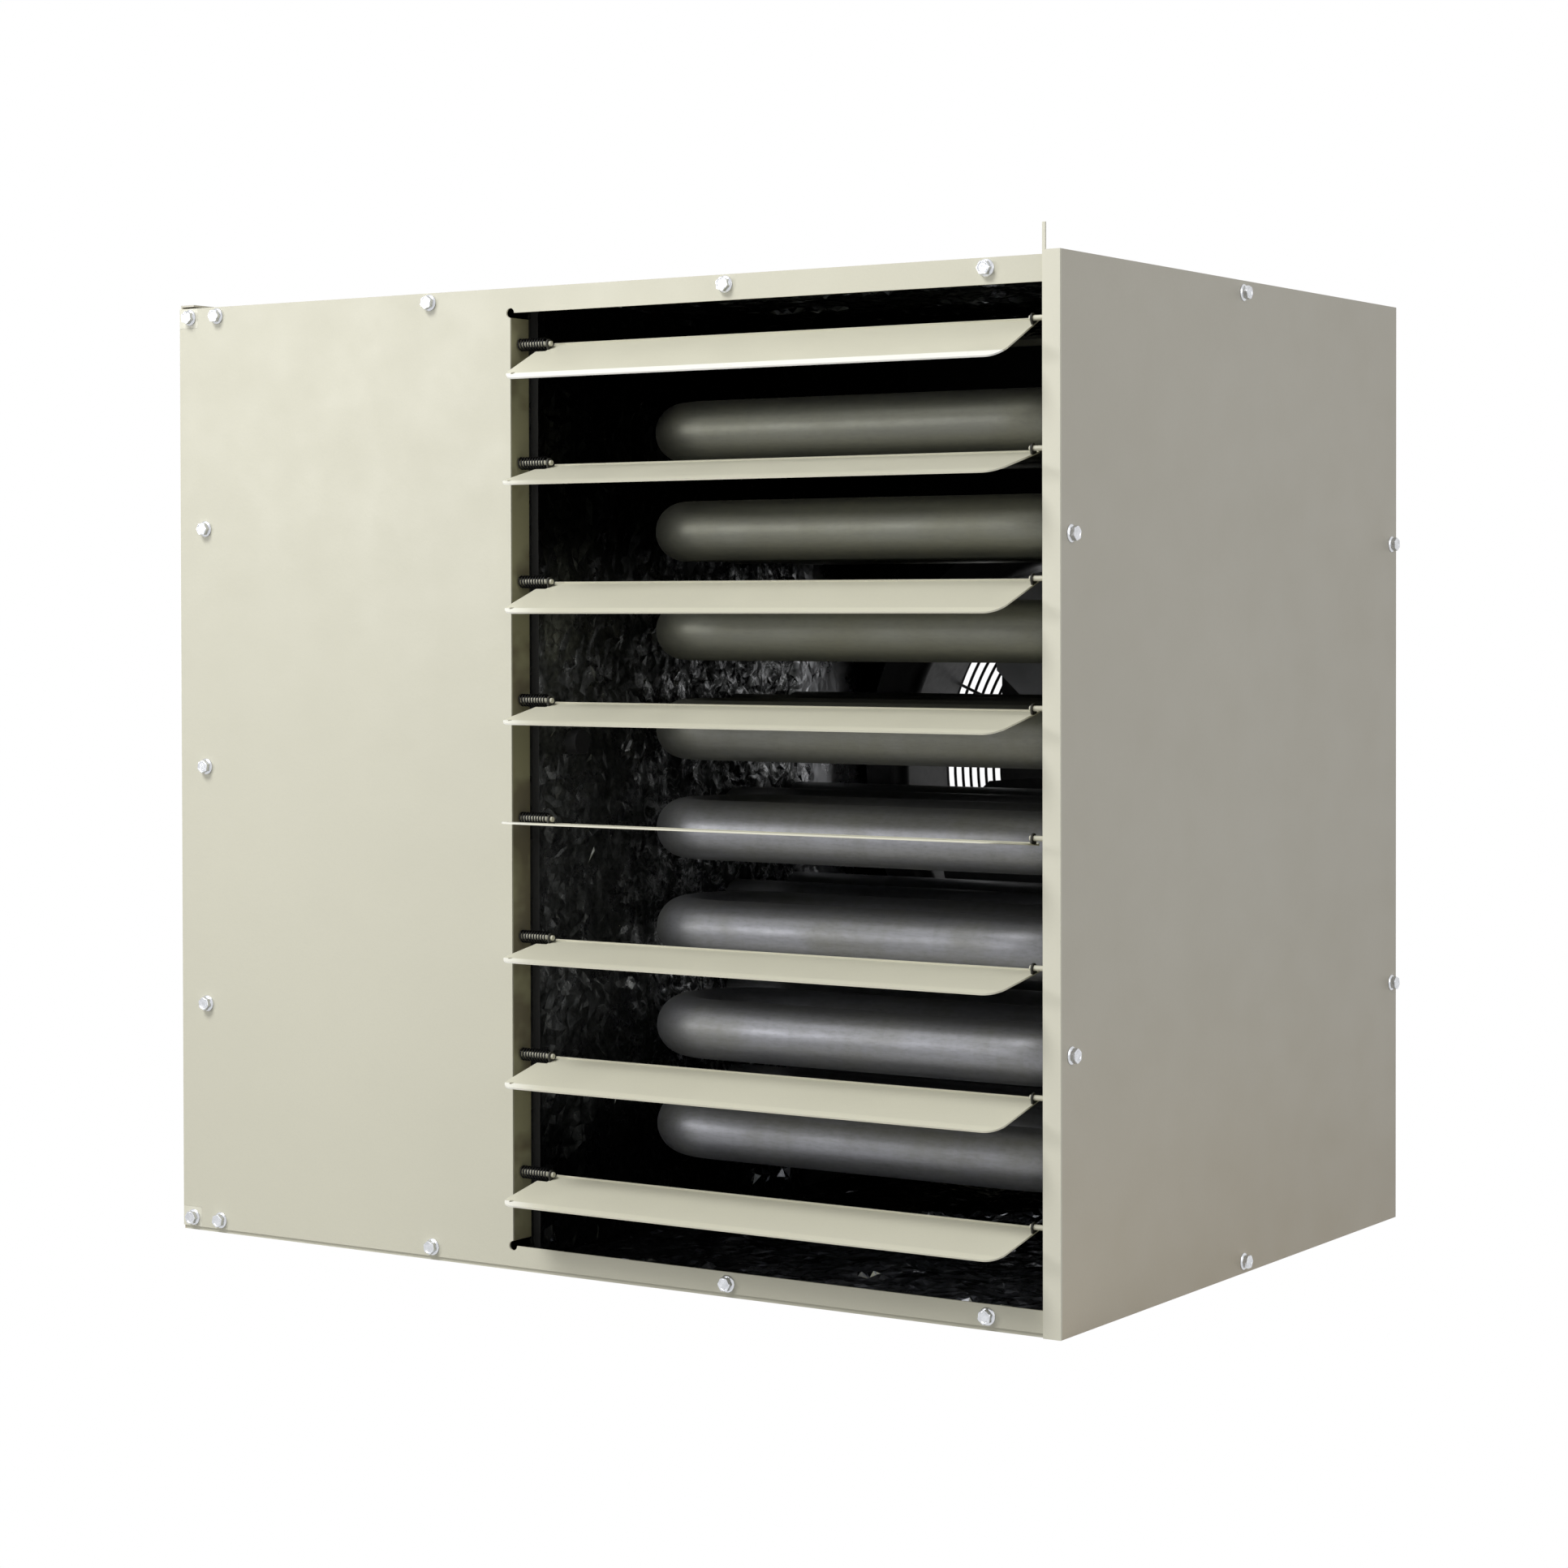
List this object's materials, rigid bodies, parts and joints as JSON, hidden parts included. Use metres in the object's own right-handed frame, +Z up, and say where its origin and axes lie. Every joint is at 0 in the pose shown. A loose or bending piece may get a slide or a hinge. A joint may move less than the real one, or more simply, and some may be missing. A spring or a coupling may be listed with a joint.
{
  "type": "gas unit heater",
  "caption": "Box-shaped gas unit heater: folded sheet casing, spring-held discharge louvers, bent tube heat exchanger, rear fan with wire guard and a closed burner compartment.",
  "frame": {"origin": "middle of the casing's underside, on the face it rests on", "axes": "+X to the right as seen from the louvers, +Y from the louvers to the back, +Z up"},
  "size_m": [0.6772, 0.5493, 0.6335],
  "materials": {
    "beige_powder_coat": "fine semi-gloss powder coat",
    "side_powder_coat": "fine semi-gloss powder coat, seen in shade",
    "galvanised_sheet": "zinc-coated sheet",
    "aluminised_steel": "aluminised steel",
    "partition_steel": "aluminised steel, dulled",
    "foil_liner": "crinkled foil facing",
    "zinc_plated": "bright zinc",
    "black_enamel": "black enamel",
    "black_spring_steel": "blackened spring wire",
    "black_plastic": "moulded",
    "black_rubber": "matte",
    "brass": "turned",
    "die_cast": "die cast",
    "circuit_board": "laminate with moulded parts",
    "ceramic": "glazed",
    "red_plastic": "moulded",
    "transformer_steel": "varnished laminations",
    "white_bracket": "white coat",
    "fan_aluminium": "plain"
  },
  "bodies": {
    "cabinet": {"front_panel": "beige_powder_coat", "right_side_panel": "side_powder_coat", "left_side_panel": "side_powder_coat", "top_panel": "beige_powder_coat", "bottom_panel": "beige_powder_coat", "rear_panel": "galvanised_sheet", "vestibule_panel": "partition_steel", "top_liner": "foil_liner", "floor_liner": "foil_liner", "right_liner": "foil_liner", "partition_liner": "foil_liner", "heat_tube_1": "aluminised_steel", "heat_tube_2": "aluminised_steel", "heat_tube_3": "aluminised_steel", "heat_tube_4": "aluminised_steel", "heat_tube_5": "aluminised_steel", "heat_tube_6": "aluminised_steel", "heat_tube_7": "aluminised_steel", "heat_tube_8": "aluminised_steel", "burner_box": "aluminised_steel", "burners": "aluminised_steel", "gas_manifold": "black_enamel", "orifices": "brass", "gas_valve": "die_cast", "gas_pipe": "black_enamel", "igniter": "ceramic", "flame_sensor": "ceramic", "limit_switch": "black_plastic", "rollout_switch": "black_plastic", "pressure_switch": "black_plastic", "pressure_hose": "black_rubber", "control_board": "circuit_board", "transformer": "transformer_steel", "junction_box": "galvanised_sheet", "power_bushing": "black_plastic", "flue_collector": "aluminised_steel", "inducer_housing": "galvanised_sheet", "inducer_motor": "black_enamel", "flue_collar": "galvanised_sheet", "fan_shroud": "black_enamel", "fan_guard": "black_enamel", "fan_motor": "black_enamel", "motor_bracket": "white_bracket", "louver_pins": "beige_powder_coat", "louver_springs": "black_spring_steel", "front_screws": "zinc_plated", "side_screws": "zinc_plated", "hanger_nuts": "zinc_plated"},
    "louver_1_blade": {"louver_1": "beige_powder_coat"},
    "louver_2_blade": {"louver_2": "beige_powder_coat"},
    "louver_3_blade": {"louver_3": "beige_powder_coat"},
    "louver_4_blade": {"louver_4": "beige_powder_coat"},
    "louver_5_blade": {"louver_5": "beige_powder_coat"},
    "louver_6_blade": {"louver_6": "beige_powder_coat"},
    "louver_7_blade": {"louver_7": "beige_powder_coat"},
    "louver_8_blade": {"louver_8": "beige_powder_coat"},
    "fan": {"fan_blades_and_shaft": "fan_aluminium"},
    "inducer_rotor": {"inducer_wheel": "galvanised_sheet"},
    "gas_knob": {"gas_valve_knob": "black_plastic"},
    "reset_plunger": {"reset_button": "red_plastic"}
  },
  "joints": [
    {"name": "louver_1_pivot", "type": "hinge", "parent": "cabinet", "child": "louver_1_blade", "pos_m": [0, -0.2275, 0.5804], "axis": [1, 0, 0], "range_deg": [-46, 29]},
    {"name": "louver_2_pivot", "type": "hinge", "parent": "cabinet", "child": "louver_2_blade", "pos_m": [0, -0.2275, 0.50619], "axis": [1, 0, 0], "range_deg": [-33.5, 41.5]},
    {"name": "louver_3_pivot", "type": "hinge", "parent": "cabinet", "child": "louver_3_blade", "pos_m": [0, -0.2275, 0.43197], "axis": [1, 0, 0], "range_deg": [-40, 35]},
    {"name": "louver_4_pivot", "type": "hinge", "parent": "cabinet", "child": "louver_4_blade", "pos_m": [0, -0.2275, 0.35776], "axis": [1, 0, 0], "range_deg": [-32, 43]},
    {"name": "louver_5_pivot", "type": "hinge", "parent": "cabinet", "child": "louver_5_blade", "pos_m": [0, -0.2275, 0.28354], "axis": [1, 0, 0], "range_deg": [-15, 60]},
    {"name": "louver_6_pivot", "type": "hinge", "parent": "cabinet", "child": "louver_6_blade", "pos_m": [0, -0.2275, 0.20933], "axis": [1, 0, 0], "range_deg": [-29.5, 45.5]},
    {"name": "louver_7_pivot", "type": "hinge", "parent": "cabinet", "child": "louver_7_blade", "pos_m": [0, -0.2275, 0.13511], "axis": [1, 0, 0], "range_deg": [-34, 41]},
    {"name": "louver_8_pivot", "type": "hinge", "parent": "cabinet", "child": "louver_8_blade", "pos_m": [0, -0.2275, 0.0609], "axis": [1, 0, 0], "range_deg": [-32, 43]},
    {"name": "fan_spin", "type": "hinge", "parent": "cabinet", "child": "fan", "pos_m": [0.132, 0.179, 0.3], "axis": [0, 1, 0], "continuous": true},
    {"name": "inducer_spin", "type": "hinge", "parent": "cabinet", "child": "inducer_rotor", "pos_m": [-0.1415, 0.0966, 0.43], "axis": [1, 0, 0], "continuous": true},
    {"name": "gas_knob_turn", "type": "hinge", "parent": "cabinet", "child": "gas_knob", "pos_m": [-0.1837, -0.0526, 0.322], "axis": [1, 0, 0], "range_deg": [0, 90]},
    {"name": "reset_press", "type": "slide", "parent": "cabinet", "child": "reset_plunger", "axis": [0, 1, 0], "range_m": [0, 0.002], "stiffness_N_per_m": 300}
  ]
}
